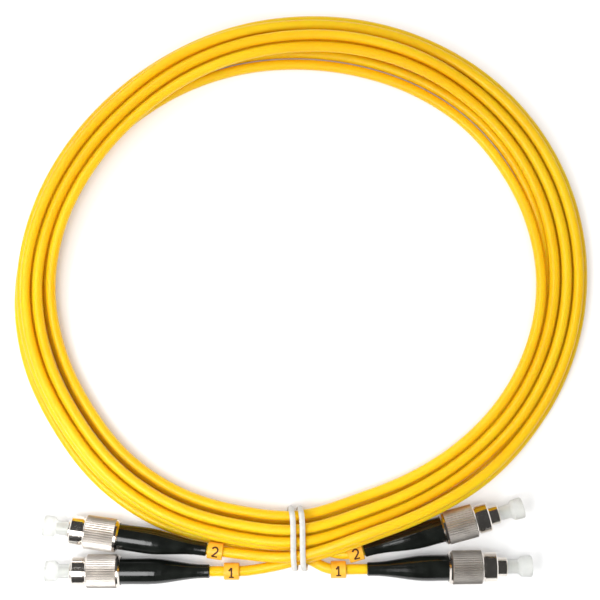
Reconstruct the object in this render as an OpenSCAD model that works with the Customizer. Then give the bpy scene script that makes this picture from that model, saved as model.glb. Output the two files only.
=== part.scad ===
// Duplex fibre optic patch cord: two 3 mm legs wound in a ring and tied, with a
// threaded ferrule connector on each of the four ends.
// Millimetres. Origin on the table amid the connectors, +Z up, +Y towards the ring.

/* [Cord] */
// Diameter of one leg's jacket
cord_d = 3.0; // [2.0:0.1:3.2]
// Turns of each leg in the ring
ring_turns = 4; // [4:1:4]
// Free gap between neighbouring turns of one leg
turn_gap = 0.55; // [0.5:0.01:0.8]
// Free gap between the two legs where they touch
leg_gap = 0.3; // [0.1:0.05:0.5]
// Half of the ring's mean width, left to right
ring_half_x = 77.4; // [70:0.1:110]
// Half of the ring's mean height, from the tie to the far side
ring_half_y = 72.2; // [66:0.1:105]
// How far the ring is pulled out of shape across its diagonals
ring_skew = 1.2; // [0:0.1:2]

/* [Wire tie] */
// Width of the tie's plastic-coated wire
tie_w = 1.6; // [1.2:0.1:1.8]
// Thickness of the tie's wire
tie_t = 0.9; // [0.6:0.1:1.0]
// Distance between the tie's two wraps
tie_pitch = 2.7; // [2.6:0.1:4]
// Gap between the tie and the cords that it holds
tie_gap = 0.25; // [0.1:0.05:0.4]

/* [Boot] */
// Length of the strain relief boot
boot_len = 27; // [24:0.5:32]
// Boot's diameter at the cord
boot_thin_d = 4.0; // [3.9:0.1:5]
// Boot's diameter at the nut
boot_thick_d = 7.6; // [7.4:0.1:7.8]
// Length of the boot's parallel part at the nut
boot_straight = 9; // [6:0.5:12]
// Radial clearance between the boot and what it covers
boot_fit = 0.1; // [0.05:0.01:0.15]

/* [Crimp] */
// Length of jacket inside the boot
cord_tail = 11; // [10:0.5:12]
// Length of jacket that the crimp sleeve grips
crimp_grip = 2; // [1.5:0.1:3]
// Overall length of the crimp sleeve
crimp_len = 11; // [10:0.5:12]
// Wall of the crimp sleeve
crimp_wall = 0.5; // [0.3:0.05:0.55]

/* [Rear body] */
// Diameter of the barrel that the yarn is crimped on
barrel_d = 4.0; // [3.6:0.1:4.2]
// Diameter of the rear body under the boot
body_d = 5.8; // [5.6:0.1:6]
// Bore that the buffered fibre passes through
fibre_bore_d = 1.5; // [1.2:0.1:1.8]
// Width of the retaining clip's groove
clip_w = 0.8; // [0.6:0.1:1]
// Outside diameter of the retaining clip
clip_d = 7.7; // [7.2:0.1:7.8]

/* [Plug frame] */
// Length of the frame's neck, which the nut slides on
frame_neck = 3.8; // [3.8:0.1:4.4]
// Diameter of the frame's neck
frame_d = 6.0; // [5.8:0.1:6.0]
// Length of the frame's flange
frame_flange = 1.2; // [0.8:0.1:1.4]
// Diameter of the frame's flange
flange_d = 7.0; // [6.8:0.1:7.0]
// Length of the frame's nose, ahead of the flange
frame_nose = 6.1; // [6:0.1:7]
// Outside diameter of the nose
nose_d = 5.5; // [5.2:0.1:5.8]
// Bore of the nose, round the ferrule
nose_bore_d = 4.2; // [4.0:0.1:4.3]
// Depth of that bore
nose_depth = 3.6; // [3:0.1:4]
// Width of the key
key_w = 2.0; // [1.8:0.1:2.1]
// Length of the key
key_len = 2.8; // [2:0.1:3]
// Height of the key's top above the axis
key_h = 3.4; // [3.2:0.05:3.45]

/* [Ferrule] */
// Diameter of the ferrule
ferrule_d = 2.5; // [2.5:0.1:2.5]
// How far the ferrule stands out of the frame
ferrule_reach = 3.5; // [3:0.1:3.6]
// Diameter of the ferrule's flange
head_d = 4.5; // [4.4:0.1:4.6]
// Length of the ferrule's flange
head_len = 3; // [2.4:0.1:3.2]
// Travel of the sprung ferrule
ferrule_travel = 0.9; // [0.5:0.1:1.2]
// Diameter of the buffered fibre
buffer_d = 0.9; // [0.6:0.1:0.9]

/* [Ferrule spring] */
// Diameter of the spring's wire
spring_wire_d = 0.4; // [0.3:0.02:0.44]
// Outside diameter of the spring
spring_d = 3.8; // [3.6:0.1:3.9]
// Curls of the spring
spring_curls = 6; // [4:1:7]

/* [Coupling nut] */
// Diameter over the knurl
nut_d = 9.8; // [9.6:0.1:10]
// Teeth of the straight knurl
knurl_teeth = 44; // [30:1:60]
// Depth of the knurl
knurl_depth = 0.25; // [0.1:0.05:0.3]
// Length of the knurled grip
grip_len = 10.1; // [9.5:0.1:11]
// Length of the smooth rim behind the grip's knurl
rim_len = 1.2; // [0.6:0.1:2]
// Wall of the smooth collar in front of the grip
collar_wall = 0.63; // [0.5:0.01:0.75]
// Length of the smooth collar
collar_len = 4.1; // [3.5:0.1:4.5]
// Thread's minor diameter
thread_d = 7.24; // [7.22:0.01:7.3]
// Bore of the nut's skirt, over the boot
skirt_d = 8.0; // [8:0.05:8.2]
// Depth of the skirt
skirt_depth = 6; // [5.5:0.1:6]
// Thickness of the nut's inner shoulder
nut_shoulder = 1.5; // [1.2:0.1:1.5]
// How far back the nuts of the right-hand connectors sit
nut_back = 2.3; // [0:0.1:2.3]

/* [Dust cap] */
// Diameter of the cap's neck
cap_neck_d = 4.0; // [3.6:0.1:4.05]
// Length of the cap's neck
cap_neck_len = 4.5; // [4.4:0.1:5.4]
// Diameter of the cap's flared end
cap_flare_d = 6.1; // [5:0.1:6.4]
// Length of the cap's flared end
cap_flare_len = 3.6; // [2.4:0.1:4]
// Radial clearance of the cap on the ferrule
cap_fit = 0.05; // [0.02:0.01:0.1]

/* [Marker ring] */
// Outside diameter of a marker ring
marker_d = 5.0; // [4.6:0.1:5.8]
// Length of a marker ring
marker_len = 4.5; // [3:0.1:5]
// Radial clearance of a marker ring on the cord
marker_fit = 0.1; // [0.05:0.01:0.2]

/* [Hidden] */
// Each end: its name, where the boot's thin end is, the way it points, how far back
// its nut sits and how far from the boot its marker ring is
ENDS = [
    ["a1", [-23.4, -8.5], 180, 0, 4.2],
    ["b1", [-24.3, -2.1], 171.6, 0, 0.3],
    ["a2", [22.8, -7.85], 1, nut_back, 6.2],
    ["b2", [21.9, -2.4], 15.2, nut_back, 0.3]
];
END_PARTS = [
    "dust_cap", "ferrule", "ferrule_flange", "ferrule_spring", "fibre_buffer",
    "plug_frame", "coupling_nut", "retaining_clip", "rear_body", "crimp_sleeve",
    "boot", "marker_ring"
];
CORD_PARTS = ["coil_a", "coil_b", "lead_a1", "lead_b1", "lead_a2", "lead_b2"];
$fn = 48;
slip = 0.1; // running clearance inside a connector
axis_z = nut_d / 2; // the nuts lie on the table

// Places along a connector, from the boot's thin end forwards
s_crimp = cord_tail - crimp_grip;
s_step = cord_tail + 1;
s_barrel = s_step + 0.5;
s_body = s_crimp + crimp_len + slip;
s_clip = boot_len + 1.9;
s_frame = s_clip + clip_w + 0.2;
s_flange = s_frame + frame_neck;
s_nose = s_flange + frame_flange;
s_face = s_nose + frame_nose;
s_seat = s_face - nose_depth;
s_head = s_seat - slip - head_len;
s_tip = s_face + ferrule_reach;
s_rear = s_head + 0.3; // the ferrule's rear end, inside its flange
s_pocket = s_frame - 2.4;
s_spigot = s_frame + 2.6;
s_nut = s_flange - slip - skirt_depth - nut_shoulder;
s_cap = s_face - 0.8;
frame_bore_r = head_d / 2 + slip;
spigot_r = frame_bore_r - 0.04;
collar_r = thread_d / 2 + collar_wall;
pocket_r = spring_d / 2 + slip;
tail_r = spring_d / 2 - spring_wire_d - 0.4;
bore_r = ferrule_d / 2;
crimp_r = barrel_d / 2 + 0.05 + crimp_wall;
grip_r = cord_d / 2 + 0.05 + crimp_wall;

// The ring. A place in it is given in turns from the tie, and across it in columns,
// one turn's pitch wide, counted inwards from the ring's mean line.
pitch = cord_d + turn_gap;
rest_gap = cord_d + leg_gap;
tie_at = [3, 2.8]; // the mean line where the tie crosses it
ring_at = tie_at + [0, ring_half_y];
leg_shift = 1.6; // the upper leg lies in the grooves of the lower one
leg_rise = sqrt(rest_gap * rest_gap - leg_shift * leg_shift);
tie_lift = tie_t + tie_gap; // the cords pass over the tie's wire
tie_arc = [5, 17]; // degrees from the tie between which the cords come down from it
boot_climb = axis_z + boot_thick_d / 2 - 1.1; // climb of the outermost pass over a boot
boot_tuck = 0.34; // columns by which it lies further in there
coil_rings = 24; // rings to a turn
// How far the ring is pulled out of its oval at some parts of a turn
ring_pull = [
    [0.1, 0], [0.15, 0.9], [0.2, 1.2], [0.3, 1.6], [0.36, 1.9], [0.42, 1.6], [0.5, 1], [0.56, 0.6],
    [0.64, -1.2], [0.7, -0.7], [0.75, -0.2], [0.83, -0.8], [0.89, 0.6], [0.92, 0.5], [0.95, 0]
];
// The way out passes beneath the ring: where it starts, ends and lies, in columns
out_from = 0.42;
out_over = 0.4;
out_col = -1.85;
// Points that the free leads pass, between the boots and the ring
via_a1 = [[-14, -8.5, axis_z], [-10, -8.0, 5.1], [-6.5, -7.3, 5.5], [-3.3, -6.6, 5.9]];
via_b1 = [[-18, -3.0, axis_z], [-13, -3.5, 5.6], [-8, -3.8, 7.2], [-3.5, -3.8, 8.7]];
via_a2 = [[11.8, -8.05, axis_z], [9, -7.1, 4.0]];
via_b2 = [[16.9, -3.75, axis_z], [13.9, -3.5, 3.9], [11, -3.0, 2.8], [8.4, -2.4, 2.6]];

function smooth(x) = let (c = min(1, max(0, x))) c * c * (3 - 2 * c);
function unit(v) = v / norm(v);
function mix(a, b, k) = a * (1 - k) + b * k;
function place(e, s) = // a point on a connector's axis
    [e[1][0] + s * cos(e[2]), e[1][1] + s * sin(e[2]), axis_z];

// Mean radius of the ring at the part f of a turn, in the direction a
function mean_radius(f, a) =
    1 / sqrt(pow(cos(a) / ring_half_x, 2) + pow(sin(a) / ring_half_y, 2))
    + ring_skew * sin(2 * a) + lookup(f, ring_pull);
// Steady drift inwards over a turn f, quicker beside the right-hand boots
function drift(f) =
    -0.5 + 0.66 * smooth(f / 0.05) - 0.16 * smooth((f - 0.2) / 0.3)
    + 0.5 * smooth((f - 0.5) / 0.5);
// Column of a pass k of the lower leg at the part f of its turn
function pass_col(k, f) = k - 1.5 + drift(f);
// Column of the last pass, which goes out beneath the others
function way_out(f) = mix(
    pass_col(3, f),
    out_col + 0.34 * smooth((f - 0.9) / 0.045) - 0.56 * smooth((f - 0.955) / 0.045),
    smooth((f - out_from) / out_over)
);
// How much a pass in column c is lifted over the two legs on their way out
function lifted(c, f) = let (
    q = c - way_out(f),
    away = q < 0 ? -q : max(0, q - rest_gap / pitch)
) smooth((1.8 - away) / 0.85);
// The same past the tie, where the two legs leave to the right
function settling(k, f) = lifted(pass_col(k, 0), 1) * (1 - smooth((f - 0.03) / 0.1));
// The outermost pass also climbs over the right-hand boot that lies under it
function over_boot(k, f) = k > 0 ? 0
    : boot_climb / pitch * smooth((f + 0.015) / 0.045) * (1 - smooth((f - 0.085) / 0.08));
function rise(k, f) = k >= 3 ? 0 : (f < 0.36 ? max(settling(k, f), over_boot(k, f))
    : lifted(pass_col(k, f), f) * smooth((f - 0.36) / 0.08));
// Lift over the tie's wire
function on_tie(f) = let (away = 360 * min(f, 1 - f) - tie_arc[0])
    tie_lift * (1 - smooth(away / (tie_arc[1] - tie_arc[0])));

// A point of the ring from its turn, part of a turn, column and height
function ring_point(f, col, z) = let (a = 360 * f - 90, r = mean_radius(f, a) - col * pitch)
    [ring_at[0] + r * cos(a), ring_at[1] + r * sin(a), z];
// The outermost pass lies a little off its column beside the tie and over the boot
function off_column(f) = -0.15 * (1 - smooth(f / 0.05))
    + boot_tuck * smooth(f / 0.04) * (1 - smooth((f - 0.08) / 0.06));
function col_a(k, f) = k >= 3 ? way_out(f)
    : pass_col(k, f) + (k == 0 ? off_column(f) : 0);
function height_a(k, f) = cord_d / 2 + on_tie(f) + pitch * rise(k, f);
// The upper leg lies in its groove, and its last pass comes down beside the lower leg
function col_b(k, f) = col_a(k, f)
    + mix(leg_shift, rest_gap, k < 3 ? 0 : smooth((f - 0.22) / 0.12)) / pitch;
// It rests on whichever pass of the lower leg is the higher one beside it
function rest_on(k, f, c) = let (away = abs(col_a(k, f) - c) * pitch)
    away < rest_gap ? height_a(k, f) + sqrt(rest_gap * rest_gap - away * away) : 0;
function height_b(k, f) = max(
    cord_d / 2 + on_tie(f),
    rest_on(k, f, col_b(k, f)),
    k < 3 ? max([for (j = [0 : 3]) rest_on(j, f, col_b(k, f))]) : 0
);
function point_a(k, f) = ring_point(f, col_a(k, f), height_a(k, f));
function point_b(k, f) = ring_point(f, col_b(k, f), height_b(k, f));
steps = [for (i = [0 : ring_turns * coil_rings]) let (k = min(ring_turns - 1, floor(i / coil_rings)))
    [k, i / coil_rings - k]];
route_a = [for (s = steps) point_a(s[0], s[1])];
route_b = [for (s = steps) point_b(s[0], s[1])];

// A lead from inside its boot to the ring's end, which it meets square
function lead_route(e, via, meet, next) = let (back = unit(meet - next) * cord_d)
    concat([place(e, cord_tail), place(e, 0)], via, [meet + back, meet]);
last = len(route_a) - 1;
leads = [
    lead_route(ENDS[0], via_a1, route_a[0], route_a[1]),
    lead_route(ENDS[1], via_b1, route_b[0], route_b[1]),
    lead_route(ENDS[2], via_a2, route_a[last], route_a[last - 1]),
    lead_route(ENDS[3], via_b2, route_b[last], route_b[last - 1])
];

// The tie's wire, wound twice round the bundle: a rounded box round what it holds
tie_turns = 2;
tie_x = 2.5;
tie_in = tie_at[1] + pass_col(3, 0) * pitch + leg_shift + cord_d / 2 + tie_gap;
tie_out = route_a[0][1] - cord_d / 2 - tie_gap - 0.35;
tie_top = mix(route_b[0][2], route_b[1][2], 0.05) + cord_d / 2 + tie_gap;
tie_mid = [(tie_in + tie_out) / 2, (tie_top + tie_t) / 2];
tie_half = [(tie_in - tie_out + tie_t) / 2, tie_top / 2];
function blunt(v) = sign(v) * pow(abs(v), 0.33);
route_tie = [for (i = [0 : tie_turns * coil_rings])
    let (a = -90 + 360 * i / coil_rings, f = i / coil_rings / tie_turns)
    [
        tie_x + tie_pitch * tie_turns * (f - 0.5),
        tie_mid[0] + tie_half[0] * blunt(cos(a)),
        tie_mid[1] + tie_half[1] * blunt(sin(a))
    ]];

// A spring's wire, wound along X between two seats
spring_len = s_head - s_pocket;
route_spring = [for (i = [0 : 8 * spring_curls])
    let (a = 360 * i / 8, f = i / (8 * spring_curls))
    [
        s_pocket + spring_wire_d / 2 + (spring_len - spring_wire_d) * f,
        (spring_d - spring_wire_d) / 2 * cos(a),
        (spring_d - spring_wire_d) / 2 * sin(a)
    ]];

// Length of a route, and the least gap between a wound tube's turns: from points on
// every stretch, a quarter of it apart, to the stretches at least skip points away
function length(p) = [for (i = 1, t = norm(p[1] - p[0]); i < len(p);
    i = i + 1, t = i < len(p) ? t + norm(p[i] - p[i - 1]) : t) t][len(p) - 2];
function to_stretch(p, a, b) = let (k = min(1, max(0, (p - a) * (b - a) / ((b - a) * (b - a)))))
    norm(p - mix(a, b, k));
function least_gap(p, d, skip) = min([for (i = [0 : len(p) - 2])
    for (q = [0 : 0.25 : 1]) let (from = mix(p[i], p[i + 1], q))
        for (j = [0 : len(p) - 2]) if (abs(i - j) >= skip) to_stretch(from, p[j], p[j + 1])]) - d;
echo("length of leg a in the ring and on its leads", length(route_a), length(leads[0]), length(leads[2]));
echo("length of leg b in the ring and on its leads", length(route_b), length(leads[1]), length(leads[3]));
echo("least gap of coil_a to itself", least_gap(route_a, cord_d, 12));
echo("least gap of coil_b to itself", least_gap(route_b, cord_d, 12));
echo("least gap of wire_tie to itself", least_gap(route_tie, tie_w, 12));
echo("least gap of ferrule_spring to itself", least_gap(route_spring, spring_wire_d, 5));

// One ring of a swept tube: w and h are its half sizes along the side and up
function tube_ring(p, i, w, h, sides, up) = let (
    before = i > 0 ? unit(p[i] - p[i - 1]) : [0, 0, 0],
    after = i < len(p) - 1 ? unit(p[i + 1] - p[i]) : [0, 0, 0],
    along = unit(before + after),
    side = unit(cross(along, up)),
    top = cross(side, along)
) [for (j = [0 : sides - 1]) let (a = 360 * (j + 0.5) / sides)
    p[i] + side * w * cos(a) + top * h * sin(a)];
module tube(p, w, h, sides, up) {
    n = len(p);
    walls = [for (i = [0 : n - 2]) for (j = [0 : sides - 1]) let (
        q = (j + 1) % sides,
        a = i * sides + j,
        b = i * sides + q,
        c = a + sides,
        d = b + sides
    ) each [[a, c, b], [b, c, d]]];
    ends = [for (j = [1 : sides - 2]) each [
        [0, j, j + 1],
        [(n - 1) * sides, (n - 1) * sides + j + 1, (n - 1) * sides + j]
    ]];
    polyhedron([for (i = [0 : n - 1]) each tube_ring(p, i, w, h, sides, up)], concat(walls, ends));
}

// A turned piece: its outline is [place along the axis, radius] points
module turned(outline) {
    rotate([0, 90, 0]) rotate_extrude() polygon([for (p = outline) [p[1], p[0]]]);
}
module at_end(e) {
    translate(place(e, 0)) rotate([0, 0, e[2]]) children();
}

module dust_cap() {
    neck = s_cap + cap_neck_len;
    end = neck + cap_flare_len;
    color([0.93, 0.94, 0.9, 0.6]) turned([
        [s_cap, bore_r + cap_fit], [s_cap, cap_neck_d / 2 - 0.15], [s_cap + 0.15, cap_neck_d / 2],
        [neck - 0.4, cap_neck_d / 2], [neck + 0.3, cap_flare_d / 2 - 0.3], [neck + 0.6, cap_flare_d / 2 - 0.1],
        [end - 1.2, cap_flare_d / 2], [end - 0.3, cap_flare_d / 2], [end, cap_flare_d / 2 - 0.3],
        [end, 1.2], [end - 0.6, 1.0], [end - 0.6, 0],
        [s_tip + 0.4, 0], [s_tip + 0.4, bore_r + cap_fit]
    ]);
}

module ferrule() {
    color([0.96, 0.96, 0.94]) turned([
        [s_rear, 0], [s_rear, bore_r - 0.1], [s_rear + 0.1, bore_r],
        [s_tip - 0.45, bore_r], [s_tip - 0.08, 0.9], [s_tip, 0.6], [s_tip, 0]
    ]);
}

module ferrule_flange() {
    tail = s_pocket + 1.2;
    color([0.74, 0.72, 0.68]) difference() {
        turned([
            [tail, buffer_d / 2 + slip], [tail, tail_r], [s_head, tail_r], [s_head, head_d / 2],
            [s_head + head_len - 0.4, head_d / 2], [s_head + head_len, head_d / 2 - 0.4],
            [s_head + head_len, bore_r + 0.02], [s_rear, bore_r + 0.02], [s_rear, buffer_d / 2 + slip]
        ]);
        // tuning notches
        for (a = [0 : 90 : 270]) rotate([a, 0, 0])
            translate([s_head + head_len - 1, -0.4, head_d / 2 - 0.5]) cube([2, 0.8, 1]);
    }
}

module ferrule_spring() {
    color([0.7, 0.71, 0.73])
        tube(route_spring, spring_wire_d / 2, spring_wire_d / 2, 6, [1, 0, 0]);
}

module fibre_buffer() {
    color([0.95, 0.93, 0.86]) translate([s_step, 0, 0]) rotate([0, 90, 0])
        cylinder(d = buffer_d, h = s_rear - slip - s_step);
}

module plug_frame() {
    color([0.78, 0.76, 0.72]) {
        turned([
            [s_frame, frame_bore_r], [s_frame, frame_d / 2], [s_flange, frame_d / 2],
            [s_flange, flange_d / 2], [s_nose - 0.2, flange_d / 2], [s_nose, flange_d / 2 - 0.2],
            [s_nose, nose_d / 2], [s_face - 0.3, nose_d / 2], [s_face, nose_d / 2 - 0.3],
            [s_face, nose_bore_d / 2 + 0.15], [s_face - 0.15, nose_bore_d / 2],
            [s_seat, nose_bore_d / 2], [s_seat, frame_bore_r]
        ]);
        // the key, which is turned to the table
        translate([s_face - 0.2 - key_len, -key_w / 2, -key_h])
            cube([key_len, key_w, key_h - nose_bore_d / 2 - 0.2]);
    }
}

module coupling_nut(back) {
    start = s_nut - back;
    grip = start + grip_len;
    front = grip + collar_len;
    root = nut_d / 2 - knurl_depth;
    ledge = start + skirt_depth;
    color([0.8, 0.78, 0.74]) difference() {
        union() {
            translate([start + rim_len, 0, 0]) rotate([0, 90, 0]) linear_extrude(grip_len - 0.4 - rim_len)
                polygon([for (i = [0 : 2 * knurl_teeth - 1])
                    (i % 2 == 0 ? nut_d / 2 : root) * [cos(180 * i / knurl_teeth), sin(180 * i / knurl_teeth)]]);
            turned([
                [start, 0], [start, root - 0.5], [start + 0.5, root + 0.1], [start + rim_len - 0.2, root + 0.1],
                [start + rim_len, root - 0.1], [start + rim_len + 0.2, root - 0.02],
                [grip - 0.3, root - 0.02], [grip, root - 0.3], [grip, collar_r - 0.35],
                [grip + 0.5, collar_r - 0.35], [grip + 0.5, collar_r], [front - 0.35, collar_r],
                [front, collar_r - 0.35], [front, 0]
            ]);
        }
        turned([
            [start - 1, 0], [start - 1, skirt_d / 2], [ledge, skirt_d / 2],
            [ledge, frame_d / 2 + slip], [ledge + nut_shoulder, frame_d / 2 + slip],
            [ledge + nut_shoulder, thread_d / 2], [front - 0.3, thread_d / 2],
            [front, thread_d / 2 + 0.3], [front + 1, thread_d / 2 + 0.3], [front + 1, 0]
        ]);
    }
}

module retaining_clip() {
    color([0.6, 0.6, 0.62]) translate([s_clip, 0, 0]) rotate([0, 90, 0])
        linear_extrude(clip_w) difference() {
            circle(d = clip_d);
            circle(d = body_d - 0.56);
            translate([0, -0.9]) square([clip_d, 1.8]);
        }
}

module rear_body() {
    color([0.76, 0.74, 0.7]) turned([
        [s_barrel, fibre_bore_d / 2], [s_barrel, barrel_d / 2 - 0.2], [s_barrel + 0.2, barrel_d / 2],
        // grooves that bite the yarn
        for (i = [0 : 2]) each [
            [s_barrel + 1.6 + 1.6 * i, barrel_d / 2], [s_barrel + 1.8 + 1.6 * i, barrel_d / 2 - 0.2],
            [s_barrel + 2.2 + 1.6 * i, barrel_d / 2 - 0.2], [s_barrel + 2.4 + 1.6 * i, barrel_d / 2]
        ],
        [s_body, barrel_d / 2], [s_body, body_d / 2], [s_clip - 0.05, body_d / 2],
        [s_clip - 0.05, body_d / 2 - 0.3], [s_clip + clip_w + 0.05, body_d / 2 - 0.3],
        [s_clip + clip_w + 0.05, body_d / 2], [s_frame, body_d / 2],
        [s_frame, spigot_r], [s_spigot, spigot_r], [s_spigot, pocket_r],
        [s_pocket, pocket_r], [s_pocket, fibre_bore_d / 2]
    ]);
}

module crimp_sleeve() {
    color([0.72, 0.7, 0.64]) turned([
        [s_crimp, cord_d / 2 + 0.05], [s_crimp, grip_r], [s_step, grip_r], [s_step + 0.5, crimp_r],
        [s_crimp + crimp_len, crimp_r], [s_crimp + crimp_len, barrel_d / 2 + 0.05],
        [s_step + 0.5, barrel_d / 2 + 0.05], [s_step, cord_d / 2 + 0.05]
    ]);
}

module boot() {
    thin = boot_thin_d / 2;
    thick = boot_thick_d / 2;
    taper = boot_len - boot_straight;
    color([0.07, 0.07, 0.08]) turned([
        [0, cord_d / 2 + boot_fit], [0, thin - 0.25], [0.25, thin], [1.5, thin],
        // the taper is gentle at both ends
        for (i = [1 : 8]) [1.5 + (taper - 1.5) * i / 8, thin + (thick - thin) * smooth(i / 8)],
        [boot_len - 0.3, thick], [boot_len, thick - 0.3], [boot_len, body_d / 2 + boot_fit],
        [s_body, body_d / 2 + boot_fit], [s_body, crimp_r + boot_fit],
        [s_step, crimp_r + boot_fit], [s_step, grip_r + boot_fit],
        [s_crimp - slip, grip_r + boot_fit], [s_crimp - slip, cord_d / 2 + boot_fit]
    ]);
}

module marker_ring(from_boot) {
    bore = cord_d / 2 + marker_fit;
    color([0.98, 0.72, 0.12]) turned([
        [-from_boot - marker_len, bore], [-from_boot - marker_len, marker_d / 2 - 0.2],
        [-from_boot - marker_len + 0.2, marker_d / 2], [-from_boot - 0.2, marker_d / 2],
        [-from_boot, marker_d / 2 - 0.2], [-from_boot, bore]
    ]);
}

module cord(route, sides) {
    color([0.98, 0.78, 0.1]) tube(route, cord_d / 2, cord_d / 2, sides, [0, 0, 1]);
}

module wire_tie() {
    color([0.95, 0.95, 0.95]) tube(route_tie, tie_t / 2, tie_w / 2, 6, [1, 0, 0]);
}

for (e = ENDS) {
    at_end(e) dust_cap();
    at_end(e) ferrule();
    at_end(e) ferrule_flange();
    at_end(e) ferrule_spring();
    at_end(e) fibre_buffer();
    at_end(e) plug_frame();
    at_end(e) coupling_nut(e[3]);
    at_end(e) retaining_clip();
    at_end(e) rear_body();
    at_end(e) crimp_sleeve();
    at_end(e) boot();
    at_end(e) marker_ring(e[4]);
}
cord(route_a, 6);  // coil_a
cord(route_b, 6);  // coil_b
cord(leads[0], 8);  // lead_a1
cord(leads[1], 8);  // lead_b1
cord(leads[2], 8);  // lead_a2
cord(leads[3], 8);  // lead_b2
wire_tie();
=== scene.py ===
import math
import bpy
import numpy as np
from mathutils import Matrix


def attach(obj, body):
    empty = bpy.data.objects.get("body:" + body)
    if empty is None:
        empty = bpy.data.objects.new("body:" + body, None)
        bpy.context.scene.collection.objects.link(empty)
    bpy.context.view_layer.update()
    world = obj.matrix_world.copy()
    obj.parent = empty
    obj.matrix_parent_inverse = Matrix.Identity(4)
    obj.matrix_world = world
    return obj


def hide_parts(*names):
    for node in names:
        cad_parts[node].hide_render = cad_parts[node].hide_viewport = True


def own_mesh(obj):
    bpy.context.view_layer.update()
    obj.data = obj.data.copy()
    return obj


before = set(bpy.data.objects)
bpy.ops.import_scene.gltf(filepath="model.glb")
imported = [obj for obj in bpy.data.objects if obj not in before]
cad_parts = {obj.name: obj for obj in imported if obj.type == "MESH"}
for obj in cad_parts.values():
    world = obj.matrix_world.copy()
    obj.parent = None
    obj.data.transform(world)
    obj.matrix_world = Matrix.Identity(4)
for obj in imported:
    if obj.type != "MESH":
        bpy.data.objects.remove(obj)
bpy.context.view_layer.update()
print("frame loaded,", len(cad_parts), "nodes")

mm = 0.001  # the lists below are in millimetres
zAxis = np.array([0.0, 0.0, 1.0])

# camera, straight above the ring
cameraView = {
    "aim": (3.1, 71.1, 4.0),
    "across": 176.5,  # width that the picture takes in at that height
    "height": 400.0,  # of the camera above that place
    "sensor": 36.0,
    "clip": (0.01, 20.0),  # metres
}


def addCamera(view):
    lens = bpy.data.cameras.new("overheadCamera")
    lens.sensor_width = view["sensor"]
    lens.lens = view["sensor"] * view["height"] / view["across"]
    lens.clip_start, lens.clip_end = view["clip"]
    camera = bpy.data.objects.new("overheadCamera", lens)
    x, y, z = view["aim"]
    camera.location = (x * mm, y * mm, (z + view["height"]) * mm)
    bpy.context.scene.collection.objects.link(camera)
    bpy.context.scene.camera = camera


addCamera(cameraView)


# surface tools that every piece uses


def unit(v):
    return v / np.maximum(np.linalg.norm(v, axis=-1, keepdims=True), 1e-12)


def mix(a, b, k):
    return a * (1 - k) + b * k


def smooth(x):  # 0 to 1 with level ends: 3c^2 - 2c^3
    c = np.clip(x, 0.0, 1.0)
    return c * c * (3.0 - 2.0 * c)


def after(f, span):  # smooth step from 0 to 1: span is where it starts and how long it takes
    start, over = span
    return smooth((f - start) / over)


def stepped(f, first, steps):  # the first value, plus the amount of each step after its span
    value = first
    for amount, span in steps:
        value = value + amount * after(f, span)
    return value


def cubic(a, b, leaving, arriving, t):
    # from a to b as t goes from 0 to 1, with these two tangents: the Hermite cubic
    return ((2 * t ** 3 - 3 * t ** 2 + 1) * a + (t ** 3 - 2 * t ** 2 + t) * leaving
            + (3 * t ** 2 - 2 * t ** 3) * b + (t ** 3 - t ** 2) * arriving)


def withNeighbours(points):  # with one more point straight on before the first and after the last
    return np.vstack([2 * points[0] - points[1], points, 2 * points[-1] - points[-2]])


def distanceAlong(path):
    return np.concatenate([[0.0], np.cumsum(np.linalg.norm(np.diff(path, axis=0), axis=1))])


def resample(path, spacing, extra=1):
    # the same line through points at even distances, about one spacing apart
    d = distanceAlong(path)
    s = np.linspace(0.0, d[-1], int(d[-1] / spacing) + extra)
    return np.stack([np.interp(s, d, part) for part in path.T], axis=-1)


def splineThrough(points, perSpan):
    # cubic through every point, with each point's tangent along its two neighbours,
    # scaled by the spans' own lengths
    p = withNeighbours(points)
    gap = np.maximum(np.linalg.norm(np.diff(p, axis=0), axis=1), 1e-9)
    slope = np.diff(p, axis=0) / gap[:, None]
    w = gap[:-1] / (gap[:-1] + gap[1:])
    tangent = slope[:-1] * (1 - w)[:, None] + slope[1:] * w[:, None]
    h = gap[1:-1][:, None, None]
    t = (np.arange(perSpan) / perSpan)[None, :, None]
    curve = cubic(p[1:-2][:, None], p[2:-1][:, None], tangent[:-1][:, None] * h, tangent[1:][:, None] * h, t)
    return np.vstack([curve.reshape(-1, 3), points[-1:]])


def ovalOutline(halfWide, halfHigh, sides, blunt=1.0):
    # superellipse: sign(cos) |cos|^blunt, and the same of the sine
    a = (np.arange(sides) + 0.5) * 2 * np.pi / sides
    c, s = np.cos(a), np.sin(a)
    return np.stack([halfWide * np.sign(c) * np.abs(c) ** blunt,
                     halfHigh * np.sign(s) * np.abs(s) ** blunt], axis=-1)


def tubeAlong(path, outline, up):
    # every ring is the outline (across, upwards) set square to the path: across is
    # tangent x up, and upwards is across x tangent
    step = np.diff(path, axis=0)
    tangent = unit(np.vstack([step[:1], unit(step[:-1]) + unit(step[1:]), step[-1:]]))
    across = unit(np.cross(tangent, up))
    upwards = np.cross(across, tangent)
    return (path[:, None, :] + across[:, None, :] * outline[None, :, :1]
            + upwards[:, None, :] * outline[None, :, 1:])


def addPiece(name, verts, faces, rounded=True):
    mesh = bpy.data.meshes.new(name)
    mesh.from_pydata(verts.tolist(), [], faces)
    mesh.polygons.foreach_set("use_smooth", np.full(len(faces), rounded))
    mesh.update()
    piece = bpy.data.objects.new(name, mesh)
    bpy.context.scene.collection.objects.link(piece)
    return piece


def gridQuads(rows, cols):  # between neighbouring rows, the last column joined to the first
    r = np.arange(rows - 1)[:, None] * cols
    c = np.arange(cols)[None, :]
    a, b = r + c, r + (c + 1) % cols
    return np.stack([a, b, b + cols, a + cols], axis=-1).reshape(-1, 4)


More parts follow.
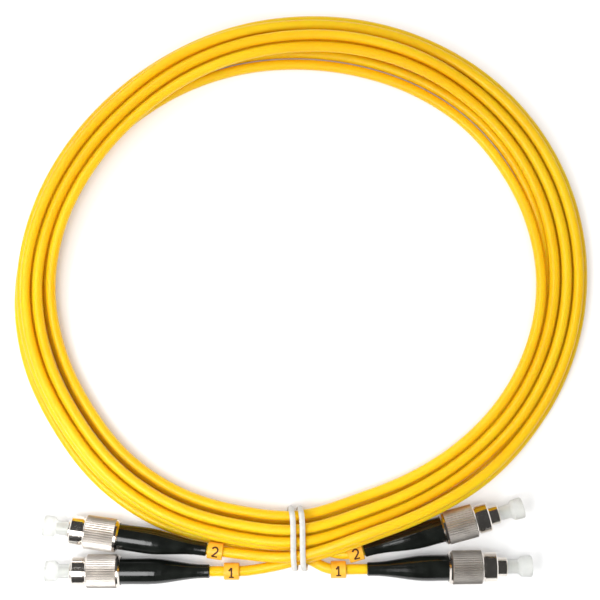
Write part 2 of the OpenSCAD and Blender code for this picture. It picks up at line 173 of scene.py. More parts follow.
gridUv = "alongCord"  # distance along the path, and share of the way round it


def meshFromGrid(name, grid, along):
    # grid is rows x columns x 3, and each end row is closed by a fan round its own middle
    rows, cols = grid.shape[:2]
    verts = np.vstack([grid.reshape(-1, 3), grid[0].mean(axis=0), grid[-1].mean(axis=0)])
    k = np.arange(cols)
    n = (k + 1) % cols
    end = (rows - 1) * cols
    fans = np.vstack([np.stack([np.full(cols, rows * cols), n, k], axis=-1),
                      np.stack([np.full(cols, rows * cols + 1), end + k, end + n], axis=-1)])
    piece = addPiece(name, verts, gridQuads(rows, cols).tolist() + fans.tolist())
    u0, u1 = np.repeat(along[:-1], cols), np.repeat(along[1:], cols)
    v0 = np.tile(k / cols, rows - 1)
    v1 = v0 + 1.0 / cols  # the seam's last column runs on to 1
    corners = np.stack([u0, v0, u0, v1, u1, v1, u1, v0], axis=-1).reshape(-1)
    layer = piece.data.uv_layers.new(name=gridUv)
    layer.data.foreach_set("uv", np.concatenate([corners, np.zeros(2 * fans.size)]))
    return piece


# The two legs: ring, leads and the ends inside the boots. A place in the ring is given
# in turns from the tie, f being the part of a turn, and across the ring in columns, one
# pitch wide, counted inwards from its mean line. A span is where in a turn a change
# starts and the part of a turn that it takes.
ring = {
    "cord": 3.0,
    "turnGap": 0.55,  # between neighbouring turns of one leg
    "legGap": 0.3,  # between the two legs where they touch
    "turns": 4,
    "ringsPerTurn": 24,
    "halfX": 77.4,  # of the mean line
    "halfY": 72.2,
    "skew": 1.2,  # how far it is drawn out along a diagonal
    "tieAt": (3.0, 2.8),  # where the tie crosses it
    "tieLift": 1.15,  # the legs pass over the tie's wire
    "tieArc": (5.0, 17.0),  # degrees from the tie between which they come down from it
    "driftFrom": -0.5,  # column of a pass at the tie, off its own
    "drift": [(0.66, (0.0, 0.05)), (-0.16, (0.2, 0.3)), (0.5, (0.5, 0.5))],  # and its steps inwards
    "wayOut": (0.42, 0.4),  # span in which the last pass goes out beneath the others
    "outColumn": -1.85,  # where it lies then
    "outSteps": [(0.34, (0.9, 0.045)), (-0.56, (0.955, 0.045))],  # and its steps before the tie
    "liftReach": 1.8,  # columns from the way out at which a pass starts to lift
    "liftOver": 0.85,  # columns in which it is lifted all the way
    "climb": (0.36, 0.08),  # span from which passes are lifted over the way out
    "settle": (0.03, 0.1),  # span in which they come down past the tie
    "bootClimb": 7.6,  # climb of the outermost pass over a boot
    "bootUp": (-0.015, 0.045),
    "bootDown": (0.085, 0.08),
    "tieTuck": -0.15,  # column of the outermost pass at the tie, off its own
    "tieTuckEnd": (0.0, 0.05),
    "bootTuck": 0.34,  # and over the boot
    "bootTuckIn": (0.0, 0.04),
    "bootTuckOut": (0.08, 0.06),
    "legShift": 1.6,  # the upper leg lies this much further in, in the lower one's groove
    "comeDown": (0.22, 0.12),  # span in which its last pass comes down beside the lower one
}
# how far the ring is pulled out of its oval at some parts of a turn
ringPull = [
    (0.1, 0), (0.15, 0.9), (0.2, 1.2), (0.3, 1.6), (0.36, 1.9), (0.42, 1.6), (0.5, 1), (0.56, 0.6),
    (0.64, -1.2), (0.7, -0.7), (0.75, -0.2), (0.83, -0.8), (0.89, 0.6), (0.92, 0.5), (0.95, 0),
]
# each end: boot's thin end, heading, how far back the nut sits, marker ring's place
ends = {
    "a1": {"at": (-23.4, -8.5), "heading": 180.0, "nutBack": 0.0, "marker": 4.2, "digit": 1},
    "b1": {"at": (-24.3, -2.1), "heading": 171.6, "nutBack": 0.0, "marker": 0.3, "digit": 2},
    "a2": {"at": (22.8, -7.85), "heading": 1.0, "nutBack": 2.3, "marker": 6.2, "digit": 1},
    "b2": {"at": (21.9, -2.4), "heading": 15.2, "nutBack": 2.3, "marker": 0.3, "digit": 2},
}
axisHeight = 4.9
markerLength = 4.5
insideBoot = (11.0, 7.0, 3.0, 0.0)  # places of the jacket ahead of the boot's thin end
# points that the leads pass between the marker rings and the ring
leads = {
    "a1": [(-14, -8.5, 4.9), (-10, -8.0, 5.1), (-6.5, -7.3, 5.5), (-3.3, -6.6, 5.9)],
    "b1": [(-18, -3.0, 4.9), (-13, -3.5, 5.6), (-8, -3.8, 7.2), (-3.5, -3.8, 8.7)],
    "a2": [(11.8, -8.05, 4.9), (9, -7.0, 4.0), (6.2, -5.3, 2.9)],
    "b2": [(16.9, -3.75, 4.9), (13.9, -3.5, 3.9), (11, -3.0, 2.8), (8.4, -2.4, 2.6)],
}
legMesh = {
    "stepsPerRing": 6,
    "stepsPerSpan": 8,
    "spacing": 1.2,
    "easings": 6,
    "held": 8,  # points at either end that no easing moves
    "sides": 18,
}
lastPass = ring["turns"] - 1
pitch = ring["cord"] + ring["turnGap"]
rest = ring["cord"] + ring["legGap"]


def meanRadius(turn):
    # an ellipse round the ring's middle, drawn out along one diagonal
    a = 2 * np.pi * turn - np.pi / 2
    oval = 1 / np.sqrt((np.cos(a) / ring["halfX"]) ** 2 + (np.sin(a) / ring["halfY"]) ** 2)
    return oval + ring["skew"] * np.sin(2 * a)


def pullAt(f):
    return np.interp(f, *np.array(ringPull).T)


def passColumn(k, f):  # the passes drift inwards over a turn, quicker beside the right-hand boots
    return k - lastPass / 2 + stepped(f, ring["driftFrom"], ring["drift"])


def wayOut(f):  # column of the last pass
    goal = stepped(f, ring["outColumn"], ring["outSteps"])
    return mix(passColumn(lastPass, f), goal, after(f, ring["wayOut"]))


def lifted(column, f):  # how much a pass in this column is lifted over the way out
    q = column - wayOut(f)
    away = np.where(q < 0, -q, np.maximum(0, q - rest / pitch))
    return smooth((ring["liftReach"] - away) / ring["liftOver"])


def overBoot(k, f):  # the outermost pass climbs over the boot that lies under it
    climb = ring["bootClimb"] / pitch * after(f, ring["bootUp"]) * (1 - after(f, ring["bootDown"]))
    return np.where(k > 0, 0.0, climb)


def rise(k, f):  # of pass k, in columns: over the way out, and over the boot at the turn's start
    settling = lifted(passColumn(k, 0.0), 1.0) * (1 - after(f, ring["settle"]))
    climbing = lifted(passColumn(k, f), f) * after(f, ring["climb"])
    early = f < ring["climb"][0]
    return np.where(k >= lastPass, 0.0, np.where(early, np.maximum(settling, overBoot(k, f)), climbing))


def onTie(f):  # lift over the tie's wire, by the angle from the tie
    near, far = ring["tieArc"]
    return ring["tieLift"] * (1 - smooth((360 * np.minimum(f, 1 - f) - near) / (far - near)))


def offColumn(f):  # the outermost pass's own shift beside the tie and over the boot
    return (ring["tieTuck"] * (1 - after(f, ring["tieTuckEnd"]))
            + ring["bootTuck"] * after(f, ring["bootTuckIn"]) * (1 - after(f, ring["bootTuckOut"])))


def columnA(k, f):  # of the lower leg
    return np.where(k >= lastPass, wayOut(f), passColumn(k, f) + np.where(k == 0, offColumn(f), 0.0))


def heightA(k, f):  # half a cord and the two lifts
    return ring["cord"] / 2 + onTie(f) + pitch * rise(k, f)


def columnB(k, f):  # of the upper leg: in the lower one's groove, and beside it at the end
    m = np.where(k < lastPass, 0.0, after(f, ring["comeDown"]))
    return columnA(k, f) + mix(ring["legShift"], rest, m) / pitch


def restingOn(k, f, column):
    # height of a leg that lies on pass k: its own height and the upright side of
    # the triangle between the two middles
    away = np.abs(columnA(k, f) - column) * pitch
    upright = np.sqrt(np.maximum(0, rest ** 2 - away ** 2))
    return np.where(away < rest, heightA(k, f) + upright, 0.0)


def heightB(k, f):  # the upper leg lies on whichever pass of the lower one is highest beside it
    column = columnB(k, f)
    lowest = np.maximum(ring["cord"] / 2 + onTie(f), restingOn(k, f, column))
    others = np.max([restingOn(np.full_like(k, j), f, column) for j in range(ring["turns"])], axis=0)
    return np.where(k < lastPass, np.maximum(lowest, others), lowest)


def ringRoute(columnOf, heightOf):
    # column, height and pull are worked out at each ring of the coil and joined by a
    # cubic; radius = mean radius + pull - column x pitch, round the ring's middle
    i = np.arange(ring["turns"] * ring["ringsPerTurn"] + 1)
    k = np.minimum(i // ring["ringsPerTurn"], lastPass).astype(float)
    turn = i / ring["ringsPerTurn"]
    f = turn - k
    flat = np.stack([turn, columnOf(k, f), heightOf(k, f), pullAt(f)], axis=-1)
    p = withNeighbours(flat)
    t = np.linspace(0, 1, legMesh["stepsPerRing"], endpoint=False)[None, :, None]
    leaving, arriving = (p[2:-1] - p[:-3])[:, None] / 2, (p[3:] - p[1:-2])[:, None] / 2
    fine = cubic(p[1:-2][:, None], p[2:-1][:, None], leaving, arriving, t).reshape(-1, 4)
    turn, column, height, pull = np.vstack([fine, flat[-1:]]).T
    radius = meanRadius(turn) + pull - column * pitch
    a = 2 * np.pi * turn - np.pi / 2
    cx, cy = ring["tieAt"][0], ring["tieAt"][1] + ring["halfY"]
    return np.stack([cx + radius * np.cos(a), cy + radius * np.sin(a), height], axis=-1)


def forwards(name):  # a connector's heading as a unit vector
    a = math.radians(ends[name]["heading"])
    return np.array([math.cos(a), math.sin(a), 0.0])


def alongEnd(name, s):  # a point on a connector's axis, s ahead of the boot's thin end
    return np.array([*ends[name]["at"], axisHeight]) + s * forwards(name)


def leadRoute(name):  # straight inside the boot and through the marker ring, then free
    marker = ends[name]["marker"]
    straight = [alongEnd(name, s) for s in (*insideBoot, -marker, -marker - markerLength)]
    return np.array(straight + leads[name])


def legRoute(leg, columnOf, heightOf):
    # the points next to the coil's two ends are left out, so that the leads run on smoothly
    coil = ringRoute(columnOf, heightOf)
    knots = np.vstack([leadRoute(leg + "1"), coil[:1], coil[2:-2], coil[-1:], leadRoute(leg + "2")[::-1]])
    return resample(splineThrough(knots, legMesh["stepsPerSpan"]), legMesh["spacing"])


def eased(path, rounds, held):
    # each point moves halfway to the middle of its two neighbours
    p = path.copy()
    for _ in range(rounds):
        p[held:-held] = 0.5 * p[held:-held] + 0.25 * (p[held - 1:-held - 1] + p[held + 1:len(p) - held + 1])
    return p


legs = {
    "a": {"columnOf": columnA, "heightOf": heightA, "nodes": ("coil_a", "lead_a1", "lead_a2")},
    "b": {"columnOf": columnB, "heightOf": heightB, "nodes": ("coil_b", "lead_b1", "lead_b2")},
}


def addLeg(leg):
    facts = legs[leg]
    route = legRoute(leg, facts["columnOf"], facts["heightOf"])
    path = eased(route, legMesh["easings"], legMesh["held"])
    path[:, 2] = np.maximum(path[:, 2], ring["cord"] / 2)  # none of it below the table
    path *= mm
    outline = ovalOutline(ring["cord"] / 2 * mm, ring["cord"] / 2 * mm, legMesh["sides"])
    along = distanceAlong(path)
    piece = meshFromGrid("leg_" + leg, tubeAlong(path, outline, zAxis), along)
    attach(piece, "cord")
    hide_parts(*facts["nodes"])
    print("leg", leg, "is", round(float(along[-1]), 3), "m long")
    return piece


legPieces = {leg: addLeg(leg) for leg in legs}

# wire tie, wound twice round the bundle
tie = {
    "middleX": 2.5,
    "pitch": 2.7,
    "turns": 2,
    "stepsPerTurn": 96,
    "spacing": 0.35,
    "wide": 1.62,
    "thick": 0.9,
    "gap": 0.25,
    "outerGap": 0.35,  # more room past the outermost pass
    "topAt": 0.05,  # place of its top, in rings of the coil from the tie's own
    "blunt": 0.33,  # of the box that it is wound in
    "sides": 20,
    "sideBlunt": 0.7,  # of the ribbon's own outline
    "edge": 0.42,  # thickness at the ribbon's edges, as a share
    "ridge": 0.42,  # width of the ridge over the wire, as a share
}


def tiePath():
    # a rounded box round the bundle, |y/a|^6 + |z/b|^6 = 1, that moves along x
    half = ring["cord"] / 2 + tie["gap"]
    inner = ring["tieAt"][1] + passColumn(lastPass, 0.0) * pitch + ring["legShift"] + half
    outer = ring["tieAt"][1] + columnA(0, 0.0) * pitch - half - tie["outerGap"]
    upperLeg = heightB(np.zeros(2), np.array([0.0, 1 / ring["ringsPerTurn"]]))
    top = mix(*upperLeg, tie["topAt"]) + half
    turn = np.linspace(0, tie["turns"], tie["stepsPerTurn"] * tie["turns"] + 1)
    a = 2 * np.pi * turn - np.pi / 2
    c, s = np.cos(a), np.sin(a)
    y = (inner + outer) / 2 + (inner - outer + tie["thick"]) / 2 * np.sign(c) * np.abs(c) ** tie["blunt"]
    z = (top + tie["thick"]) / 2 + top / 2 * np.sign(s) * np.abs(s) ** tie["blunt"]
    x = tie["middleX"] + tie["pitch"] * (turn - tie["turns"] / 2)
    return np.stack([x, y, z], axis=-1)


def addTie():
    # a flat ribbon with a round ridge over its wire: half thickness is a thin edge
    # plus a hump, exp(-(distance from the middle / width of the ridge)^2)
    path = resample(tiePath(), tie["spacing"]) * mm
    flat = ovalOutline(1.0, 1.0, tie["sides"], tie["sideBlunt"])
    hump = tie["edge"] + (1 - tie["edge"]) * np.exp(-(flat[:, 1] / tie["ridge"]) ** 2)
    outline = np.stack([flat[:, 0] * tie["thick"] / 2 * hump, flat[:, 1] * tie["wide"] / 2], axis=-1) * mm
    xAxis = np.array([1.0, 0.0, 0.0])
    piece = meshFromGrid("tieRibbon", tubeAlong(path, outline, xAxis), distanceAlong(path))
    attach(piece, "cord")
    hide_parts("wire_tie")
    return piece


tiePiece = addTie()
print("tie made")

# ferrule springs, of round wire
spring = {
    "from": 27.5,  # places along the connector
    "to": 34.3,
    "wire": 0.4,
    "outside": 3.8,
    "curls": 6,
    "travel": 0.9,  # of the ferrule, which shortens the spring
    "stepsPerCurl": 28,
    "sides": 10,
}


def addSpring(name):
    # a helix: along the axis by the share of the turns, round it by their angle
    turn = np.linspace(0, spring["curls"], spring["stepsPerCurl"] * spring["curls"] + 1)
    a = 2 * np.pi * turn
    share = turn / spring["curls"]
    s = spring["from"] + spring["wire"] / 2 + (spring["to"] - spring["from"] - spring["wire"]) * share
    radius = (spring["outside"] - spring["wire"]) / 2
    forward = forwards(name)
    side = np.cross(zAxis, forward)
    path = (alongEnd(name, 0.0) + forward * s[:, None] + side * (radius * np.cos(a))[:, None]
            + zAxis * (radius * np.sin(a))[:, None]) * mm
    outline = ovalOutline(spring["wire"] / 2 * mm, spring["wire"] / 2 * mm, spring["sides"])
    piece = meshFromGrid("springWire_" + name, tubeAlong(path, outline, forward), distanceAlong(path))
    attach(piece, "cord")
    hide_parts("ferrule_spring_" + name)
    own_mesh(piece)
    return piece


springPieces = [addSpring(name) for name in ends]
print("springs made")

# plain numerals on the marker rings
numeral = {
    "high": 2.9,
    "wide": 1.9,
    "stroke": 0.5,
    "spacing": 0.12,
    "layers": (-0.0025, 0.05),  # underside and face of a stroke, above the ring's surface
    "ringRadius": 2.5,
    "bowMiddle": (0.5, 0.71),  # of the 2, in the box that its strokes are drawn in
    "bowHalf": (0.42, 0.29),
    "bowDegrees": (165, -38),
    "bowPoints": 16,
}


def strokePaths(digit):
    # each stroke is a line of (across, upwards) points in a box one wide and one high
    if digit == 1:
        return [np.array([(0.12, 0.68), (0.34, 0.82), (0.52, 1.0)]), np.array([(0.52, 1.0), (0.52, 0.0)]),
                np.array([(0.14, 0.0), (0.9, 0.0)])]
    a = np.radians(np.linspace(*numeral["bowDegrees"], numeral["bowPoints"]))
    circle = np.stack([np.cos(a), np.sin(a)], axis=-1)
    bow = np.array(numeral["bowMiddle"]) + np.array(numeral["bowHalf"]) * circle
    return [np.vstack([bow, [(0.08, 0.0)]]), np.array([(0.08, 0.0), (0.96, 0.0)])]


def strokeStrip(path):
    # rows of four corners (along, round, above) of a thin strip that follows the stroke
    p = resample((path - 0.5) * (numeral["wide"], numeral["high"]), numeral["spacing"], extra=0)
    t = unit(np.gradient(p, axis=0))
    n = np.stack([-t[:, 1], t[:, 0]], axis=-1) * numeral["stroke"] / 2
    corners = np.stack([p - n, p + n, p + n, p - n], axis=1)
    above = np.broadcast_to(np.repeat(numeral["layers"], 2)[:, None], (len(p), 4, 1))
    return np.concatenate([corners, above], axis=-1)


def addNumeral(name):
    # a strip is bent over the ring: angle = distance round / radius. The connectors on the
    # left point away, and their numerals read the same way as those on the right
    end = ends[name]
    along = -forwards(name) if end["heading"] > 90 else forwards(name)
    upright = np.cross(zAxis, along)
    middle = alongEnd(name, -end["marker"] - markerLength / 2)
    verts, faces, base = [], [], 0
    for path in strokePaths(end["digit"]):
        strip = strokeStrip(path)
        radius = numeral["ringRadius"] + strip[..., 2]
        angle = strip[..., 1] / numeral["ringRadius"]
        grid = (middle + along * strip[..., :1] + upright * (radius * np.sin(angle))[..., None]
                + zAxis * (radius * np.cos(angle))[..., None])
        rows = len(grid)
        last = base + 4 * (rows - 1)
        faces += (base + gridQuads(rows, 4)).tolist()
        faces += [[base + 3, base + 2, base + 1, base], [last, last + 1, last + 2, last + 3]]
        verts.append(grid.reshape(-1, 3) * mm)
        base += 4 * rows
    piece = addPiece("numeral_" + name, np.vstack(verts), faces, rounded=False)
    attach(piece, "marker_" + name)
    return piece


numeralPieces = [addNumeral(name) for name in ends]
print("numerals made")


# tools for the finishes


def newMaterial(name):
    material = bpy.data.materials.new(name)
    material.use_nodes = True
    nodes = material.node_tree.nodes
    return material, nodes, material.node_tree.links, nodes["Principled BSDF"]


def setSockets(node, values):
    for socket, value in values.items():
        node.inputs[socket].default_value = value


def objectCoordinates(nodes):
    return nodes.new("ShaderNodeTexCoord").outputs["Object"]


def noiseOn(nodes, links, source, scale, detail=3.0, stretch=(1, 1, 1), rough=0.5):
    place = nodes.new("ShaderNodeMapping")
    setSockets(place, {"Scale": stretch})
    links.new(source, place.inputs["Vector"])
    noise = nodes.new("ShaderNodeTexNoise")
    setSockets(noise, {"Scale": scale, "Detail": detail, "Roughness": rough})
    links.new(place.outputs["Vector"], noise.inputs["Vector"])
    return noise.outputs["Fac"]


noiseSpan = (0.3, 0.7)  # between which nearly all of a noise's values lie


def between(nodes, links, factor, low, high, span=noiseSpan):  # colours, at the span's two ends
    ramp = nodes.new("ShaderNodeValToRGB")
    for element, place, color in zip(ramp.color_ramp.elements, span, (low, high)):
        element.position = place
        element.color = (*color, 1)
    links.new(factor, ramp.inputs["Fac"])
    return ramp.outputs["Color"]


def spread(nodes, links, factor, values):  # numbers, in the same way
    ramp = nodes.new("ShaderNodeMapRange")
    setSockets(ramp, {"From Min": noiseSpan[0], "From Max": noiseSpan[1],
                      "To Min": values[0], "To Max": values[1]})
    links.new(factor, ramp.inputs["Value"])
    return ramp.outputs["Result"]


def bumpFrom(nodes, links, shader, height, strength, distance):
    bump = nodes.new("ShaderNodeBump")
    setSockets(bump, {"Strength": strength, "Distance": distance})
    links.new(height, bump.inputs["Height"])
    links.new(bump.outputs["Normal"], shader.inputs["Normal"])


# finishes: "low" and "high" are the colours between which a surface is mottled, "rough" the
# roughness from and to, and "bump" its strength and its depth in metres
jacketFinish = {
    "low": (0.96, 0.5, 0.004),
    "high": (0.99, 0.59, 0.012),
    "mottle": (0.35, 0.65),  # span of the noise between the two colours
    "rough": (0.3, 0.42),
    "patches": {"scale": 18.0, "detail": 2.0, "stretch": (1, 0.08, 1)},
    "drawn": {"scale": 9.0, "detail": 4.0, "stretch": (14, 3.0, 1)},
    "bump": (0.12, 0.00006),
    "sockets": {"Specular IOR Level": 0.42, "Subsurface Weight": 0.9, "Subsurface Scale": 1.0,
                "Subsurface Radius": (0.004, 0.0026, 0.0004)},
}


def jacketMaterial():
    material, nodes, links, shader = newMaterial("jacketYellow")
    uv = nodes.new("ShaderNodeUVMap")
    uv.uv_map = gridUv
    patches = noiseOn(nodes, links, uv.outputs["UV"], **jacketFinish["patches"])
    drawn = noiseOn(nodes, links, uv.outputs["UV"], **jacketFinish["drawn"])
    color = between(nodes, links, patches, jacketFinish["low"], jacketFinish["high"], jacketFinish["mottle"])
    links.new(color, shader.inputs["Base Color"])
    links.new(spread(nodes, links, drawn, jacketFinish["rough"]), shader.inputs["Roughness"])
    bumpFrom(nodes, links, shader, drawn, *jacketFinish["bump"])
    setSockets(shader, jacketFinish["sockets"])
    return material


bootFinish = {
    "low": (0.004, 0.005, 0.004),
    "high": (0.01, 0.012, 0.01),
    "mottle": (0.35, 0.65),
    "rough": (0.13, 0.2),
    "cloud": {"scale": 260.0},
    "grain": {"scale": 2600.0},
    "bump": (0.12, 0.00008),
    "sockets": {"IOR": 1.6},
}


def bootMaterial():
    material, nodes, links, shader = newMaterial("bootBlack")
    here = objectCoordinates(nodes)
    cloud = noiseOn(nodes, links, here, **bootFinish["cloud"])
    grain = noiseOn(nodes, links, here, **bootFinish["grain"])
    color = between(nodes, links, cloud, bootFinish["low"], bootFinish["high"], bootFinish["mottle"])
    links.new(color, shader.inputs["Base Color"])
    links.new(spread(nodes, links, cloud, bootFinish["rough"]), shader.inputs["Roughness"])
    bumpFrom(nodes, links, shader, grain, *bootFinish["bump"])
    setSockets(shader, bootFinish["sockets"])
    return material


nickelFinish = {
    "low": (0.7, 0.65, 0.6),
    "high": (0.86, 0.81, 0.75),
    "rough": (0.12, 0.2),
    "satin": 0.36,  # roughness that the blasted knurl has on top
}
innerFinish = {
    "low": (0.55, 0.53, 0.5),
    "high": (0.68, 0.65, 0.6),
    "rough": (0.25, 0.4),
}
turned = {
    "marks": {"scale": 500.0, "detail": 4.0, "rough": 0.6},
    "streak": 8,  # how much the marks are squeezed along the axis
    "cloud": {"scale": 220.0},
    "bump": (0.1, 0.00003),
    "knurl": (27.3, 35.8),  # its span along a connector whose nut is right forward
}


def withSatin(nodes, links, along, gloss, span, amount):
    # roughness + amount x (1 within half the span's length of its middle, otherwise 0)
    split = nodes.new("ShaderNodeSeparateXYZ")
    links.new(along, split.inputs[0])
    inside = nodes.new("ShaderNodeMath")
    inside.operation = "COMPARE"
    inside.inputs[1].default_value = sum(span) / 2 * mm
    inside.inputs[2].default_value = (span[1] - span[0]) / 2 * mm
    links.new(split.outputs["X"], inside.inputs[0])
    total = nodes.new("ShaderNodeMath")
    total.operation = "MULTIPLY_ADD"
    total.inputs[1].default_value = amount
    links.new(inside.outputs[0], total.inputs[0])
    links.new(gloss, total.inputs[2])
    return total.outputs[0]


def metalMaterial(name, finish, streak=1, at=(0.0, 0.0), heading=0.0, satin=None):
    # turned so that X runs along the connector from its boot's thin end; fine turning
    # marks run round it, so the noise is squeezed along X
    material, nodes, links, shader = newMaterial(name)
    a = -math.radians(heading)
    x, y = at[0] * mm, at[1] * mm
    place = nodes.new("ShaderNodeMapping")
    setSockets(place, {"Rotation": (0, 0, a), "Location": (
        y * math.sin(a) - x * math.cos(a), -x * math.sin(a) - y * math.cos(a), 0)})
    links.new(objectCoordinates(nodes), place.inputs["Vector"])
    here = place.outputs["Vector"]
    marks = noiseOn(nodes, links, here, stretch=(streak, 1, 1), **turned["marks"])
    cloud = noiseOn(nodes, links, here, **turned["cloud"])
    links.new(between(nodes, links, cloud, finish["low"], finish["high"]), shader.inputs["Base Color"])
    gloss = spread(nodes, links, marks, finish["rough"])
    if satin:
        gloss = withSatin(nodes, links, here, gloss, satin, finish["satin"])
    links.new(gloss, shader.inputs["Roughness"])
    bumpFrom(nodes, links, shader, marks, *turned["bump"])
    setSockets(shader, {"Metallic": 1.0})
    return material


capFinish = {
    "cloud": {"scale": 900.0},
    "bump": (0.08, 0.00004),
    "sockets": {"Base Color": (0.98, 0.99, 0.965, 1), "Roughness": 0.45, "Transmission Weight": 0.8,
                "IOR": 1.28},
}


def capMaterial():
    material, nodes, links, shader = newMaterial("capFrosted")
    cloud = noiseOn(nodes, links, objectCoordinates(nodes), **capFinish["cloud"])
    bumpFrom(nodes, links, shader, cloud, *capFinish["bump"])
    setSockets(shader, capFinish["sockets"])
    return material


softGlow = {"Subsurface Weight": 0.1, "Subsurface Radius": (0.001, 0.001, 0.001)}
plastics = {
    "tieWhite": {"low": (0.58, 0.57, 0.53), "high": (0.7, 0.69, 0.65), "scale": 600.0, "bump": 0.15,
                 "sockets": {"Roughness": 0.45, **softGlow}},
    "markerYellow": {"low": (0.9, 0.44, 0.025), "high": (0.96, 0.53, 0.05), "scale": 500.0, "bump": 0.1,
                     "sockets": {"Roughness": 0.38, **softGlow}},
    "numeralInk": {"low": (0.06, 0.012, 0.004), "high": (0.09, 0.02, 0.006), "scale": 900.0, "bump": 0.06,
                   "sockets": {"Roughness": 0.6}},
    "ceramicWhite": {"low": (0.86, 0.86, 0.83), "high": (0.9, 0.9, 0.87), "scale": 700.0, "bump": 0.02,
                     "sockets": {"Roughness": 0.18}},
    "bufferPale": {"low": (0.84, 0.81, 0.72), "high": (0.9, 0.87, 0.78), "scale": 700.0, "bump": 0.06,
                   "sockets": {"Roughness": 0.4}},
}
grainFiner = 9  # a plastic's grain against its clouds
grainDepth = 0.00005


def plasticMaterial(name):
    finish = plastics[name]
    material, nodes, links, shader = newMaterial(name)
    here = objectCoordinates(nodes)
    cloud = noiseOn(nodes, links, here, finish["scale"])
    grain = noiseOn(nodes, links, here, finish["scale"] * grainFiner)
    links.new(between(nodes, links, cloud, finish["low"], finish["high"]), shader.inputs["Base Color"])
    bumpFrom(nodes, links, shader, grain, finish["bump"], grainDepth)
    setSockets(shader, finish["sockets"])
    return material


def coat(piece, material):
    piece.data.materials.clear()
    piece.data.materials.append(material)


def coatNode(node, material):
    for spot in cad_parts[node].material_slots:
        spot.material = material


def coatScenePieces():
    finishes = [
        (legPieces.values(), jacketMaterial()),
        ([tiePiece], plasticMaterial("tieWhite")),
        (springPieces, metalMaterial("springSteel", innerFinish)),
        (numeralPieces, plasticMaterial("numeralInk")),
    ]
    for pieces, material in finishes:
        for piece in pieces:
            coat(piece, material)


def coatConnectors():
    shared = {
        "boot": bootMaterial(), "dust_cap": capMaterial(), "marker_ring": plasticMaterial("markerYellow"),
        "ferrule": plasticMaterial("ceramicWhite"), "fibre_buffer": plasticMaterial("bufferPale"),
    }
    for name, end in ends.items():
        place = {"streak": turned["streak"], "at": end["at"], "heading": end["heading"]}
        knurl = [s - end["nutBack"] for s in turned["knurl"]]
        nickel = metalMaterial("nickel_" + name, nickelFinish, satin=knurl, **place)
        inner = metalMaterial("innerNickel_" + name, innerFinish, **place)
        finishes = {
            **shared, "coupling_nut": nickel, "plug_frame": nickel, "ferrule_flange": inner,
            "rear_body": inner, "retaining_clip": inner, "crimp_sleeve": inner,
        }
        for part, material in finishes.items():
            coatNode(part + "_" + name, material)


coatScenePieces()
coatConnectors()
print("finishes on")

# table, lamps and world
objectMiddle = (0.003, 0.07, 0.0)
studio = {
    "floorHalf": 3.0,  # metres, as all lengths here
    "floorColor": 0.86,
    "floorRough": 0.9,
    # strength near the object and far off, where the lamps don't reach, and the distances of both
    "floorGlow": {"near": 0.14, "far": 0.62, "from": 0.12, "to": 0.6},
    "ambient": 0.46,  # what lights the matt surfaces from all round
    "roomGlow": 0.06,  # what shows in gloss away from the panels
    "backdrop": 1.0,
    "panels": {
        "leftPanel": {"at": (-0.7, 0.75, 0.95), "size": (0.6, 0.6), "power": 2.8, "aim": objectMiddle},
        "sidePanel": {"at": (-0.6, -0.2, 1.0), "size": (0.3, 1.4), "power": 5.6, "aim": (-0.6, -0.2, 0.0)},
        "nearPanel": {"at": (-0.1, -0.06, 0.25), "size": (0.12, 0.15), "power": 0.36,
                      "aim": (-0.1, -0.06, 0.0)},
        "topPanel": {"at": (0.003, 0.07, 1.2), "size": (0.5, 0.5), "power": 3.6, "aim": objectMiddle,
                     "gloss": False},
    },
}


def floorFade(nodes, links):  # the glow's strength, by the distance from the object's middle
    away = nodes.new("ShaderNodeVectorMath")
    away.operation = "DISTANCE"
    away.inputs[1].default_value = objectMiddle
    links.new(objectCoordinates(nodes), away.inputs[0])
    fade = nodes.new("ShaderNodeMapRange")
    fade.interpolation_type = "SMOOTHSTEP"
    for socket, key in (("From Min", "from"), ("From Max", "to"), ("To Min", "near"), ("To Max", "far")):
        fade.inputs[socket].default_value = studio["floorGlow"][key]
    links.new(away.outputs["Value"], fade.inputs["Value"])
    return fade.outputs["Result"]


def seenRays(nodes, links):  # 1 for camera, glossy and transmission rays: the greatest of the three
    rays = nodes.new("ShaderNodeLightPath")
    seen = rays.outputs["Is Camera Ray"]
    for other in ("Is Glossy Ray", "Is Transmission Ray"):
        greatest = nodes.new("ShaderNodeMath")
        greatest.operation = "MAXIMUM"
        links.new(seen, greatest.inputs[0])
        links.new(rays.outputs[other], greatest.inputs[1])
        seen = greatest.outputs[0]
    return seen


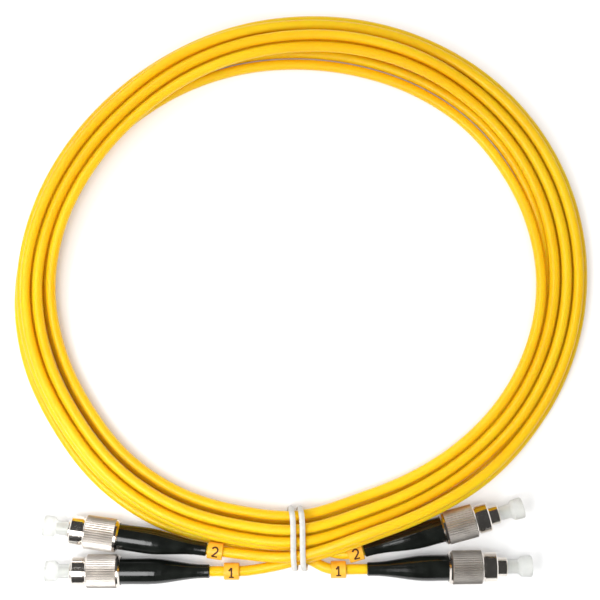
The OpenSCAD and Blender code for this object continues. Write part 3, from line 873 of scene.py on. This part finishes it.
def floorMaterial():
    material, nodes, links, shader = newMaterial("tableWhite")
    setSockets(shader, {"Base Color": (studio["floorColor"],) * 3 + (1,), "Roughness": studio["floorRough"],
                        "Specular IOR Level": 0.0})
    glow = nodes.new("ShaderNodeEmission")
    setSockets(glow, {"Color": (1, 1, 1, 1)})
    links.new(floorFade(nodes, links), glow.inputs["Strength"])
    both = nodes.new("ShaderNodeAddShader")
    links.new(shader.outputs[0], both.inputs[0])
    links.new(glow.outputs[0], both.inputs[1])
    pick = nodes.new("ShaderNodeMixShader")
    links.new(seenRays(nodes, links), pick.inputs["Fac"])
    links.new(shader.outputs[0], pick.inputs[1])
    links.new(both.outputs[0], pick.inputs[2])
    links.new(pick.outputs[0], nodes["Material Output"].inputs["Surface"])
    return material


def addFloor():
    half = studio["floorHalf"]
    corners = np.array([(-half, -half, 0), (half, -half, 0), (half, half, 0), (-half, half, 0)])
    floor = addPiece("tableTop", corners, [(0, 1, 2, 3)], rounded=False)
    coat(floor, floorMaterial())


def addLamp(name, at, size, power, aim, gloss=True):
    lamp = bpy.data.lights.new(name, "AREA")
    lamp.shape = "RECTANGLE"
    lamp.size, lamp.size_y = size
    lamp.energy = power
    holder = bpy.data.objects.new(name, lamp)
    bpy.context.scene.collection.objects.link(holder)
    holder.location = at
    holder.visible_glossy = gloss
    x, y, z = np.array(aim) - np.array(at)
    heading = math.atan2(y, x) - math.pi / 2 if x or y else 0.0
    holder.rotation_euler = (math.atan2(math.hypot(x, y), -z), 0, heading)


def addSky():
    # one plain light for matt surfaces, a darker room in the gloss, white behind
    world = bpy.data.worlds.new("paleRoom")
    bpy.context.scene.world = world
    world.use_nodes = True
    nodes, links = world.node_tree.nodes, world.node_tree.links
    ambient = nodes["Background"]
    glow, backdrop = (nodes.new("ShaderNodeBackground") for _ in range(2))
    for node, strength in ((ambient, "ambient"), (glow, "roomGlow"), (backdrop, "backdrop")):
        setSockets(node, {"Color": (1, 1, 1, 1), "Strength": studio[strength]})
    rays = nodes.new("ShaderNodeLightPath")
    gloss, seen = (nodes.new("ShaderNodeMixShader") for _ in range(2))
    links.new(rays.outputs["Is Glossy Ray"], gloss.inputs["Fac"])
    links.new(ambient.outputs[0], gloss.inputs[1])
    links.new(glow.outputs[0], gloss.inputs[2])
    links.new(rays.outputs["Is Camera Ray"], seen.inputs["Fac"])
    links.new(gloss.outputs[0], seen.inputs[1])
    links.new(backdrop.outputs[0], seen.inputs[2])
    links.new(seen.outputs[0], nodes["World Output"].inputs["Surface"])


addFloor()
for panelName, panel in studio["panels"].items():
    addLamp(panelName, **panel)
addSky()
bpy.context.scene.view_settings.view_transform = "Standard"
print("studio ready")
